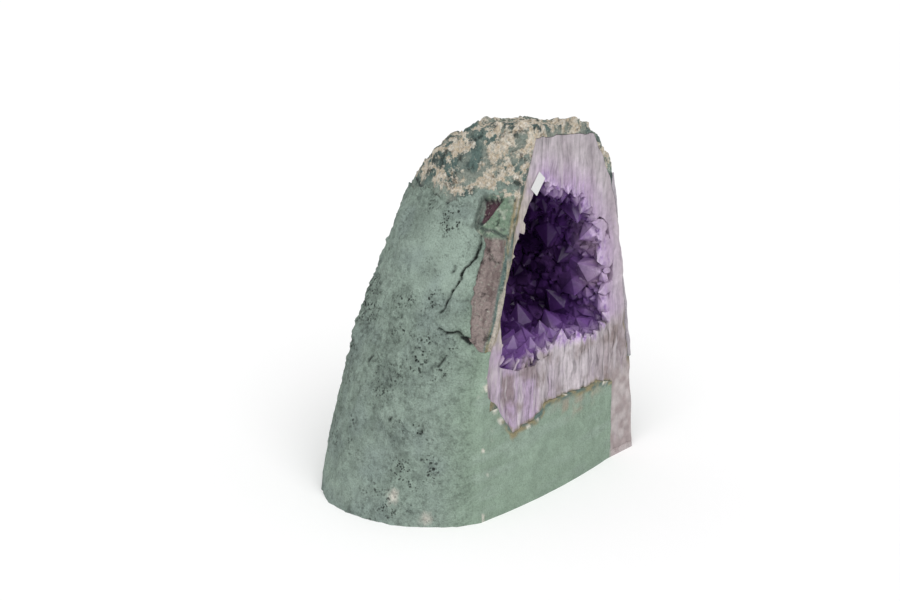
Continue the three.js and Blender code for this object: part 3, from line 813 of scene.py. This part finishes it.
class Look:
    """A material built up from nodes. Colours and numbers may be sockets or plain values."""

    def __init__(self, name):
        self.material = bpy.data.materials.new(name)
        self.material.use_nodes = True
        self.material.node_tree.nodes.clear()
        self.shader = self.new("BsdfPrincipled")
        self.join(self.shader.outputs["BSDF"], self.new("OutputMaterial").inputs["Surface"])

    def new(self, kind, **values):
        """A node of a kind, with values for its inputs."""
        made = self.material.node_tree.nodes.new("ShaderNode" + kind)
        for name, value in values.items():
            self.join(value, made.inputs[name])
        return made

    def join(self, value, socket):
        """Links a socket to an input, or gives the input a plain value."""
        if isinstance(value, bpy.types.NodeSocket):
            self.material.node_tree.links.new(value, socket)
        elif np.ndim(value) and len(socket.default_value) == 4:
            socket.default_value = (*value, 1)
        else:
            socket.default_value = value

    def surface(self, colour, **values):
        """Sets the shader's colour and its other inputs, whose names have spaces for underscores."""
        self.join(colour, self.shader.inputs["Base Color"])
        for name, value in values.items():
            self.join(value, self.shader.inputs[name.replace("_", " ")])

    def worked(self, kind, operation, *values):
        """The result of a math node, of numbers or of vectors."""
        made = self.new(kind)
        made.operation = operation
        for value, socket in zip(values, made.inputs):
            self.join(value, socket)
        return made.outputs[0]

    def where(self):
        return self.new("TexCoord").outputs["Object"]

    def noise(self, scale, detail=4.0, rough_share=0.55, vector=None, output="Fac"):
        """A noise texture in the row frame; scale is in bumps per metre."""
        vector = self.where() if vector is None else vector
        made = self.new("TexNoise", Scale=scale, Detail=detail, Roughness=rough_share, Vector=vector)
        return made.outputs[output]

    def ramp(self, source, *stops):
        """A ramp of greys, each stop a place and a grey."""
        made = self.new("ValToRGB", Fac=source)
        elements = made.color_ramp.elements
        while len(elements) < len(stops):
            elements.new(0.5)
        for element, (where, grey) in zip(elements, stops):
            element.position = where
            element.color = (grey, grey, grey, 1)
        return made.outputs["Color"]

    def mixed(self, first, second, share, mode="MIX"):
        made = self.new("Mix")
        made.data_type = "RGBA"
        made.blend_type = mode
        for value, socket in ((share, made.inputs[0]), (first, made.inputs[6]), (second, made.inputs[7])):
            self.join(value, socket)
        return made.outputs[2]

    def times(self, first, second):
        return self.mixed(first, second, 1.0, "MULTIPLY")

    def attribute(self, name, output="Fac"):
        made = self.new("Attribute")
        made.attribute_name = name
        return made.outputs[output]

    def bump(self, *layers):
        """Fine relief in layers, each a height and a distance in metres."""
        normal = None
        for height, distance in layers:
            made = self.new("Bump", Strength=1.0, Distance=distance, Height=height)
            if normal is not None:
                self.join(normal, made.inputs["Normal"])
            normal = made.outputs["Normal"]
        self.join(normal, self.shader.inputs["Normal"])

    def wavered(self, scale, sway):
        """The row frame's coordinates, pushed about by noise."""
        where = self.where()
        push = self.noise(scale, 2.0, 0.5, where, "Color")
        return self.worked("VectorMath", "MULTIPLY_ADD", push, sway, where)

    def pits(self, scale, radius, pitted):
        """Small round pits, 1 at their middles, kept where noise and the given mask of pits allow them. The
        cement's material paints them dark as painted shade inside the pits.
        """
        cells = self.new("TexVoronoi", Scale=scale, Vector=self.wavered(scale * 1.5, (0.6 / scale,) * 3))
        round_pits = self.ramp(cells.outputs["Distance"], (radius * 0.5, 1.0), (radius, 0.0))
        chosen = self.ramp(self.noise(scale * 0.45, 2), (0.5, 0.0), (0.56, 1.0))
        return self.times(self.times(round_pits, chosen), pitted)

    def crisp(self, share, texture, sway, width):
        """A soft share turned into ragged patches with clear edges, where the texture decides each spot."""
        added = self.worked("Math", "MULTIPLY_ADD", texture, sway, share)
        middle = 0.5 + sway / 2
        halved = self.worked("Math", "DIVIDE", added, 2.0)
        return self.ramp(halved, ((middle - width) / 2, 0.0), ((middle + width) / 2, 1.0))


def cement_material():
    look = Look("grey_green_cement")
    pitted, gritty = look.attribute("pitted", "Color"), look.attribute("gritty")
    speckle = look.ramp(look.noise(1100, 4, 0.6), (0.3, 0.74), (0.5, 1.0), (0.72, 1.14))
    cloud = look.ramp(look.noise(110, 7, 0.68), (0.3, 0.82), (0.7, 1.12))
    grain = look.noise(300, 7, 0.62)
    # Painted shade in the hollows of the grit and painted highlight on its grains, from the same noise that
    # bumps the surface.
    grit_painted_shade_and_highlight = look.ramp(grain, (0.36, 0.66), (0.48, 1.0), (0.64, 1.12))
    large, small = look.pits(330, 0.36, pitted), look.pits(640, 0.44, pitted)
    colour = look.times(look.times(look.attribute("tint", "Color"), speckle), cloud)
    colour = look.mixed(colour, look.times(colour, grit_painted_shade_and_highlight), gritty)
    # Painted shade: the pits are darkened as the shade inside them.
    colour = look.mixed(colour, CEMENT_DARK * 0.16, large)
    colour = look.mixed(colour, CEMENT_DARK * 0.22, small)
    look.surface(colour, Roughness=0.92, Specular_IOR_Level=0.2)
    sunk = look.worked("Math", "SUBTRACT", 1.0, look.mixed(large, small, 1.0, "ADD"))
    grit = look.worked("Math", "MULTIPLY", grain, gritty)
    look.bump((look.noise(1300), 0.0003), (grit, 0.0045), (sunk, 0.0010))
    return look.material


def rock_material():
    look = Look("weathered_basalt")
    cream = look.ramp(look.noise(420, 6, 0.7), (0.4, 0.0), (0.62, 1.0))
    pale = look.ramp(look.noise(520, 6, 0.7), (0.55, 0.0), (0.68, 0.55))
    speckle = look.ramp(look.noise(700, 6, 0.7), (0.32, 0.58), (0.5, 1.0), (0.7, 1.25))
    # Clefts in the rock, sunk by the bump and darkened as painted shade inside them.
    clefts_with_painted_shade = look.ramp(look.noise(170, 8, 0.66), (0.34, 0.4), (0.42, 1.0))
    crusted = look.crisp(look.attribute("crusted"), look.noise(260, 9, 0.7), 2.4, 0.1)
    colour = look.mixed(look.attribute("tint", "Color"), look.mixed(TAN_CRUST, CREAM_CRUST, cream), crusted)
    colour = look.mixed(colour, PATCH_PALE, pale)
    look.surface(look.times(look.times(colour, speckle), clefts_with_painted_shade), Roughness=0.85, Specular_IOR_Level=0.3)
    look.bump((clefts_with_painted_shade, 0.0012), (look.noise(300, 8, 0.68), 0.0026), (look.noise(1500), 0.0004))
    return look.material


def amethyst_material():
    look = Look("amethyst_quartz")
    streaked = look.attribute("streaked")
    columns = look.worked("VectorMath", "MULTIPLY", look.wavered(45, (0.007, 0.0, 0.0)), (1.0, 0.3, 0.15))
    streaks = look.noise(420, 6, 0.62, columns)
    violet = look.crisp(look.attribute("violet"), look.noise(190, 8, 0.7, columns), 2.2, 0.22)
    deep = look.mixed(VIOLET, LILAC, look.ramp(look.noise(260), (0.36, 0.15), (0.56, 1.0)))
    cloud = look.ramp(look.noise(240, 6, 0.65), (0.3, 0.78), (0.7, 1.14))
    milky = look.ramp(look.noise(260, 6, 0.62, columns), (0.54, 0.0), (0.66, 0.85))
    colour = look.times(look.mixed(look.attribute("tint", "Color"), deep, violet), cloud)
    dark = look.times(colour, look.ramp(streaks, (0.32, 0.4), (0.47, 1.0), (0.64, 1.3)))
    colour = look.mixed(colour, look.mixed(dark, QUARTZ_PALE, milky), streaked)
    look.surface(colour, Roughness=look.attribute("dull"), IOR=QUARTZ_IOR, Specular_IOR_Level=0.14,
                 Transmission_Weight=look.attribute("clear"))
    relief = look.worked("Math", "MULTIPLY", streaks, streaked)
    look.bump((look.noise(500), 0.00014), (relief, 0.0022))
    return look.material


def label_material():
    look = Look("label_paper")
    shade = look.ramp(look.noise(900, 3), (0.3, 0.94), (0.7, 1.0))
    look.surface(look.times(LABEL_WHITE, shade), Roughness=0.6)
    look.bump((look.noise(2500, 3), 0.00004))
    return look.material


def floor_material():
    look = Look("white_floor")
    look.surface(FLOOR_WHITE, Roughness=0.8, Specular_IOR_Level=0.1)
    return look.material


def foot_mottle(p):
    """The patchy colours of the quartz foot."""
    return blend(FOOT_PALE, FOOT_BROWN, rise(rough(p, 6, 69, 4), -0.4, 0.4))


def tint_cement(thing):
    p = layout_points(thing.data)
    x, y, z = p.T
    side = p[:, [1, 2]]
    left = on_left(p)
    tint = blend(CEMENT, CEMENT_PALE, 0.5 * rise(rough(p, 26, 41), 0.0, 0.6))
    tint = blend(tint, CEMENT_DARK, 0.32 * rise(rough(p, 14, 42), 0.05, 0.6))
    tint = blend(tint, CEMENT_BLUE, 0.6 * rise(rough(p, 18, 48), -0.1, 0.5))
    smooth = np.where(left, patches(side + 3 * rough(p, 14, 28)[:, None], SMOOTH_PATCHES[:1]), 0)
    calm = np.maximum(smooth, fall(y, 0.5, 8))
    # Painted shade in the hollows of the cement's relief, following the same noise as its bumps.
    painted_shade_in_hollows = rise(-rough(p, 4, 21, 3), 0.05, 0.6) * (1 - calm)
    tint = blend(tint, CEMENT_DARK * 0.7, 0.2 * painted_shade_in_hollows)
    # Painted highlight on the raised bumps of the cement's relief.
    painted_highlight_on_bumps = rise(rough(p, 4, 21, 3), 0.15, 0.7) * (1 - calm)
    tint = blend(tint, CEMENT_PALE, 0.35 * painted_highlight_on_bumps)
    holes = np.where(left, patches(side, HOLE_PATCHES), 0.3)
    # Darker spots over the holey patches, and darker pits where the shape sinks them: painted shade inside
    # the cement's small holes.
    tint = blend(tint, CEMENT_DARK, 0.5 * holes * rise(rough(p, 3, 43), -0.1, 0.5))
    pitted = rise(rough(p, 2.6, 24, 2), 0.34, 0.62) * holes
    tint = blend(tint, CEMENT_DARK * 0.5, 0.8 * pitted)
    front = fall(y + 4 * rough(p, 16, 46), 1, 22)
    tint = blend(tint, CEMENT_GREEN, 0.8 * front)
    wipes = rise(rough(p * (0.25, 1, 1.6), 9, 49, 3), 0.0, 0.6)
    tint = blend(tint, CEMENT_PALE, 0.35 * front * wipes)
    face = fall(y, 1, 5)
    stain = fall(np.hypot((x - 88) / 30, (z - 50) / 13), 0.4, 1.1) * rise(rough(p, 7, 44, 4), -0.3, 0.4)
    tint = blend(tint, STAIN, 0.75 * stain * face)
    under_quartz = outline_distance(p[:, [0, 2]], CRUST_OUTLINE)
    seam = face * fall(under_quartz + 1.2 * rough(p, 6, 38, 3), 2.2, 4.2) * fall(z, 56, 62)
    stripes = rough(np.column_stack([x * 0.3, under_quartz * 2.2, z * 0.3]), 3, 39, 2)
    tint = blend(tint, blend(OLIVE_LINE, TEAL_ROCK, rise(stripes, -0.1, 0.2)), seam)
    tint = blend(tint, CREAM_CRUST, seam * rise(rough(p, 4, 40, 3), 0.42, 0.6))
    corner = fall(np.abs(x + 2), 2, 7) * fall(y, 2, 9) * fall(z, 84, 96)
    chips = corner * rise(rough(p * (1, 1, 0.5), 3.2, 45, 3), 0.42, 0.52)
    tint = blend(tint, CREAM_CRUST, chips)
    for at, size in PALE_CHIPS:
        away = np.linalg.norm(p - np.array(at), axis=1) + 1.5 * rough(p, 3, 37, 2)
        tint = blend(tint, CREAM_CRUST, 0.85 * fall(away, 0.5 * size, size))
    # The cracks and the trowel's slits are drawn as near-black lines: painted shade inside them, over grooves
    # that the shape also cuts.
    for line in (UPPER_CRACK, LOWER_CRACK):
        away = line_distance(side + crack_wander(p), line)
        broken = 0.35 + 0.65 * rise(rough(p, 3, 36, 2), -0.3, 0.1)
        dark = np.clip(1.5 * broken * np.exp(-((away / 0.65) ** 2)), 0, 1)
        tint = blend(tint, CEMENT_DARK * 0.12, np.where(left, dark, 0))
    for start, end in SLITS:
        dark = np.exp(-((line_distance(side, [start, end]) / 0.6) ** 2))
        tint = blend(tint, CEMENT_DARK * 0.2, np.where(left, dark, 0))
    # Painted shadow: a dark line along the edge of the hole, under the cement's lip.
    painted_shadow_at_hole_lip = np.where(left & (y < 24), fall(np.abs(outline_distance(side, HOLE)), 0.6, 1.6), 0)
    tint = blend(tint, CEMENT_DARK * 0.4, 0.5 * painted_shadow_at_hole_lip)
    rind = rise(x, 96, 104) * fall(y, 7, 12) * rise(z, 60, 64)
    tint = blend(tint, RIND, rind)
    under_foot = rise(x, 124, 127) * fall(y, 10, 14) * fall(z, 5, 8)
    tint = blend(tint, foot_mottle(p), under_foot)
    set_colours(thing, "tint", tint)
    uneven = rise(rough(p, 9, 47, 3), -0.5, 0.3)
    set_values(thing, "pitted", np.clip(0.25 + holes, 0, 1) * (1 - 0.9 * front) * uneven)
    uneven = 0.6 + 0.4 * rise(rough(p, 20, 34), -0.4, 0.4)
    set_values(thing, "gritty", (1 - 0.75 * smooth) * (1 - 0.8 * face) * uneven)


def tint_rock(thing):
    p = layout_points(thing.data)
    x, y, z = p.T
    side = p[:, [1, 2]]
    tint = blend(TEAL_ROCK, DARK_ROCK, 0.7 * rise(rough(p, 6, 53, 3), -0.1, 0.4))
    tint = blend(tint, CROWN_GREY, rise(rough(p, 8, 58, 3), -0.3, 0.4))
    wash = fall(-covered(p), 0, 12) * rise(rough(p, 6, 60, 3), -0.4, 0.2)
    tint = blend(tint, CEMENT, 0.7 * wash)
    strip = fall(z + rough(p, 5, 35), 162, 165) * on_left(p)
    upright_bumps = rough(p * (1, 1, 0.3), 4, 55, 3)
    brown = blend(BROWN_ROCK, BROWN_DARK, rise(upright_bumps, -0.2, 0.5))
    tint = blend(tint, brown, strip)
    patch = (1 - strip) * fall(z + 2 * rough(p, 6, 32), 183, 189) * on_left(p) * fall(y, 16, 21)
    mottled = blend(PATCH_GREEN, PATCH_PALE, rise(rough(p, 4, 56, 3), 0.0, 0.5))
    mottled = blend(mottled, DARK_ROCK, 0.6 * rise(rough(p, 3, 66, 3), 0.2, 0.5))
    tint = blend(tint, mottled, patch)
    inside_hole = outline_distance(side, HOLE) + 0.8 * rough(p, 3, 89, 2)
    hole = np.where(on_left(p), fall(inside_hole, -0.8, 0.4), 0)
    tint = blend(tint, HOLE_ROCK, hole)
    shade = np.where(on_left(p), hole * rise(z + 0.15 * y, 182.5, 185), 0)
    tint = blend(tint, DARK_ROCK * 0.5, shade)
    # Painted shade: a dark line along a ledge of the bare rock, standing in for the shade under it.
    ledge_painted_shade = np.where(on_left(p), fall(np.abs(z - 164 - 0.25 * y + rough(p, 5, 87)), 0.5, 1.3), 0)
    tint = blend(tint, DARK_ROCK, 0.8 * ledge_painted_shade)
    seam = fall(y + 0.8 * rough(p, 7, 86, 2), 2.0, 3.4) * fall(z, 186, 194) * on_left(p)
    fine = np.column_stack([x * 0.2, y * 3.4, z * 0.2])
    banded = blend(OLIVE_LINE, TEAL_ROCK, rise(rough(fine, 3.2, 57, 3), -0.2, 0.2))
    banded = blend(banded, AGATE, rise(rough(fine, 3.7, 67, 3), 0.0, 0.4))
    tint = blend(tint, banded, seam)
    set_colours(thing, "tint", tint)
    crown = rise(z + 4 * rough(p, 9, 85, 2), 180, 188)
    crest = rise(z, 208, 217)
    crusted = 0.42 + 0.62 * rough(p, 8, 51, 4) + 0.16 * crest
    set_values(thing, "crusted", np.clip(crusted, 0, 1) * crown * (1 - strip) * (1 - hole))


def tint_crust(thing):
    p = layout_points(thing.data)
    x, y, z = p.T
    flat = p[:, [0, 2]]
    beyond = outline_distance(flat, MOUTH_OUTLINE)
    edge = -outline_distance(flat, CRUST_OUTLINE)
    away = flat - CRUST_MIDDLE
    side = away[:, 0] / np.linalg.norm(away, axis=1)
    columns = upright(p)
    left = rise(-side, 0.25, 0.75) * rise(z, 96, 108)
    right = rise(x, 100, 116) * rise(z, 92, 106) * fall(z, 168, 188)
    low = fall(z, 84, 98)
    high = rise(z, 172, 186)
    band = blend(QUARTZ_PALE, QUARTZ_GREY, rise(rough(columns, 7, 61, 3), -0.4, 0.5))
    band = blend(band, QUARTZ_LILAC, 0.85 * fall(beyond, 3, 26) * (1 - low) * (1 - left))
    band = blend(band, BAND_GREY, 0.6 * high * rise(beyond, 12, 30))
    lilac = fall(x, 50, 70) * rise(rough(columns, 8, 81, 3), -0.4, 0.3)
    band = blend(band, QUARTZ_LILAC, 0.7 * low * lilac)
    band = blend(band, BAND_BROWN, 0.8 * low * rise(rough(p, 10, 68, 4), 0.0, 0.5))
    band = blend(band, BAND_BROWN, 0.45 * low * rise(x, 100, 128))
    band = blend(band, AGATE, 0.85 * left * rise(rough(p, 8, 84, 3), -0.5, 0.1))
    inside = rise(y, 2.2, 5.5)
    inner = blend(VIOLET, LILAC, 0.5 * rise(rough(p, 7, 83, 2), 0.0, 0.5))
    # Painted shade inside the hollow: the crystals' violet darkens with depth, and starts darkening deeper in
    # low down and at the right.
    bright = 12 * np.maximum(fall(z, 92, 112), right)
    inner = blend(inner, DEEP_VIOLET, rise(y - bright, 5, 20))
    inner = blend(inner, NIGHT_VIOLET, 0.92 * rise(y - bright, 12, 42))
    # Painted shade: dark patches deep in the hollow.
    deep_painted_shade = rise(rough(p, 15, 78, 2), -0.1, 0.4) * rise(y, 14, 30)
    inner = blend(inner, NIGHT_VIOLET * 0.3, 0.75 * deep_painted_shade)
    lively = rise(rough(p, 8, 82, 2), 0.15, 0.55) * rise(y, 8, 20)
    inner = blend(inner, PLUM, 0.6 * lively)
    pink = right * fall(y, 11, 23) * rise(rough(p, 13, 80, 2), -0.4, 0.2)
    inner = blend(inner, PINK_QUARTZ, 0.75 * pink)
    foot = on_foot(p)
    tint = blend(band, inner, inside * (1 - foot))
    tint = blend(tint, foot_mottle(p), foot)
    rim = fall(edge + 1.2 * rough(p, 5, 70, 3), 0.2, 1.8) * (1 - foot) * (1 - inside)
    rim *= np.maximum(low, left)
    tint = blend(tint, OLIVE_LINE, 0.8 * rim * rise(rough(p, 6, 64, 2), -0.5, 0.2))
    set_colours(thing, "tint", tint)
    width = 11 + 5 * high - 9.5 * left + 3 * right
    near = fall(beyond, -0.3 * width, width)
    set_values(thing, "violet", near * (1 - inside) * (1 - foot))
    set_values(thing, "clear", 0.08 + 0.22 * inside * (1 - foot) * fall(y, 10, 30))
    set_values(thing, "dull", 0.34 - 0.16 * inside * (1 - foot) + 0.14 * foot + 0.1 * low)
    strength = 0.5 + 0.2 * high - 0.15 * right + 0.5 * low
    set_values(thing, "streaked", np.clip(strength * (1 - foot), 0, 1) * (1 - inside))


def shade_by_angle(thing, angle):
    """Rounds the shading of a mesh but keeps edges sharper than the angle crisp."""
    thing.data.shade_smooth()
    thing.data.set_sharp_from_angle(angle=math.radians(angle))


def make_camera():
    data = bpy.data.cameras.new("camera")
    data.lens = CAMERA["lens"]
    data.sensor_width = CAMERA["sensor"]
    data.clip_start = 0.01
    camera = bpy.data.objects.new("camera", data)
    camera.location = place(CAMERA["at"])
    camera.rotation_euler = (math.radians(90 - CAMERA["elevation"]), 0, math.radians(CAMERA["azimuth"]))
    bpy.context.scene.collection.objects.link(camera)
    bpy.context.scene.camera = camera


def make_studio():
    """A white studio with a pure white backdrop, lit mostly by a broad soft lamp above the left."""
    world = bpy.data.worlds.new("studio")
    world.use_nodes = True
    nodes, links = world.node_tree.nodes, world.node_tree.links
    sky = nodes["Background"]
    sky.inputs["Color"].default_value = (1, 1, 1, 1)
    path = nodes.new("ShaderNodeLightPath")
    strength = nodes.new("ShaderNodeMapRange")
    strength.inputs["To Min"].default_value = AMBIENT
    strength.inputs["To Max"].default_value = 1.0
    links.new(path.outputs["Is Camera Ray"], strength.inputs["Value"])
    links.new(strength.outputs["Result"], sky.inputs["Strength"])
    bpy.context.scene.world = world
    bpy.context.scene.view_settings.view_transform = "Standard"
    lamp = bpy.data.lights.new("softbox", "SUN")
    lamp.energy = SOFTBOX["energy"]
    lamp.angle = math.radians(SOFTBOX["angle"])
    softbox = bpy.data.objects.new("softbox", lamp)
    softbox.rotation_euler = Vector(SOFTBOX["from"]).to_track_quat("Z", "Y").to_euler()
    bpy.context.scene.collection.objects.link(softbox)
    far = FLOOR_REACH
    corners = [(-far, -far, 0), (far, -far, 0), (far, far, 0), (-far, far, 0)]
    floor = new_object("floor", corners, [(0, 1, 2, 3)])
    floor.data.materials.append(floor_material())


def dress(thing, material, node):
    """Gives a piece its material, ties it to the root body, and hides the imported part of the node that it
    stands for.
    """
    thing.data.materials.clear()
    thing.data.materials.append(material)
    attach(thing, "root")
    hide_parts(node)


def stone_shapes(rays):
    """The smooth radius and surface, and the rock's radius, along each ray."""
    smooth = smooth_radius(rays)
    surface = HEART + rays * smooth[:, None]
    return smooth, surface, rock_radius(smooth, surface)


def cut_for_cement(thing, gap):
    """Cuts a rock shape back to its sunk lower front and its bottom, where the cement lies."""
    cut(thing, block(FAR_LOW, (FAR_HIGH[0], LOWER_FRONT["depth"] - gap, LOWER_FRONT["top"] - gap)))
    cut(thing, block(FAR_LOW, (*FAR_HIGH, ROCK_BOTTOM - gap)))


def make_rock(grown_bowl):
    rays, faces = ball([bare_rock, bare_rock, bare_rock], subdivisions=5)
    rock = new_object("geode_host_rock", HEART + rays * stone_shapes(rays)[2][:, None], faces)
    cut_for_cement(rock, 0)
    cut(rock, front_cutter(rock_edge_relief, spacing=1.5))
    cut(rock, copy_of(grown_bowl))
    keep_largest(rock)
    return rock


def make_cement(grown_bowl):
    rays, faces = ball([visible_sides, near_edge_or_crack])
    smooth, surface, rock_at = stone_shapes(rays)
    cement_at = cement_radius(smooth, surface, rock_at)
    cement = new_object("geode_cement", HEART + rays * cement_at[:, None], faces)
    inside = new_object("inside", HEART + rays * (rock_at + GAP)[:, None], faces)
    cut_for_cement(inside, GAP)
    cut(cement, inside)
    cut(cement, front_cutter(lower_front_relief, spacing=2.0))
    cut(cement, block(FAR_LOW, (*FAR_HIGH, 0)))
    cut(cement, copy_of(grown_bowl))
    keep_largest(cement)
    return cement


def make_hollow():
    """The space of the hollow, before crystals grow into it."""
    angles = -np.arange(MOUTH_POINTS) / MOUTH_POINTS * 2 * math.pi
    circle = 60 * np.column_stack([np.cos(angles), np.sin(angles), angles * 0])
    reach = mouth_radius(angles) + mouth_swell(angles) + 1.4 * rough(circle, 9, 77, 3)
    rim = CRUST_MIDDLE + reach[:, None] * np.column_stack([np.cos(angles), np.sin(angles)])
    return bowl("hollow", rim, HOLLOW_DEPTH, HOLLOW_COLLAR)


def make_crust(rim, foot):
    """The quartz crust with its hollow, its crystals and its foot, which is kept inside the stone."""
    outer = bowl("geode_crystal_crust", rim, CRUST_DEPTH, CRUST_COLLAR)
    crust = copy_of(outer)
    crust.name = "geode_amethyst_crust"
    cut(crust, make_hollow())
    places = crystal_places(MAIN_CRYSTALS) + crystal_places(SMALL_CRYSTALS) + rim_crystals()
    for group in crystal_groups(places):
        combine(crust, crystal_cluster(group), "UNION")
    combine(crust, outer, "INTERSECT")
    rays, faces = ball([])
    smooth = smooth_radius(rays)
    surface = HEART + rays * smooth[:, None]
    stone = new_object("stone", HEART + rays * (smooth + lumps(surface) - GAP)[:, None], faces)
    combine(foot, stone, "INTERSECT")
    combine(crust, foot, "UNION")
    cut(crust, front_cutter(quartz_relief, spacing=1.2))
    keep_largest(crust)
    return crust


def make_label():
    label = block((0, 0, 0), (LABEL["width"], LABEL["thickness"], LABEL["height"]))
    x, y, z = (layout_points(label.data) - np.array([LABEL["width"] / 2, 0, LABEL["height"] / 2])).T
    c, s = math.cos(LABEL["turn"]), math.sin(LABEL["turn"])
    turned = np.column_stack([
        x * c - z * s + LABEL["at"][0], y - GAP - LABEL["thickness"], x * s + z * c + LABEL["at"][1]])
    label.data.vertices.foreach_set("co", place(turned).ravel())
    label.name = "geode_paper_label"
    return label


def main():
    make_camera()
    make_studio()
    crust_rim = outline_rim(CRUST_OUTLINE, spacing=1.5, jagged=1.2, seed=81)
    foot = quartz_foot()
    grown = bowl("grown", crust_rim, CRUST_DEPTH, CRUST_COLLAR, GAP)
    combine(grown, copy_of(foot), "UNION")
    rock = make_rock(grown)
    cement = make_cement(grown)
    drop(grown)
    crust = make_crust(crust_rim, foot)
    label = make_label()
    tint_cement(cement)
    tint_rock(rock)
    tint_crust(crust)
    shade_by_angle(cement, 55)
    shade_by_angle(rock, 40)
    shade_by_angle(crust, 12)
    dress(rock, rock_material(), "host_rock")
    dress(crust, amethyst_material(), "crystal_crust")
    dress(cement, cement_material(), "cement_facing")
    dress(label, label_material(), "paper_label")
    for piece in (rock, crust, cement, label):
        print(piece.name, len(piece.data.polygons), "faces")


main()
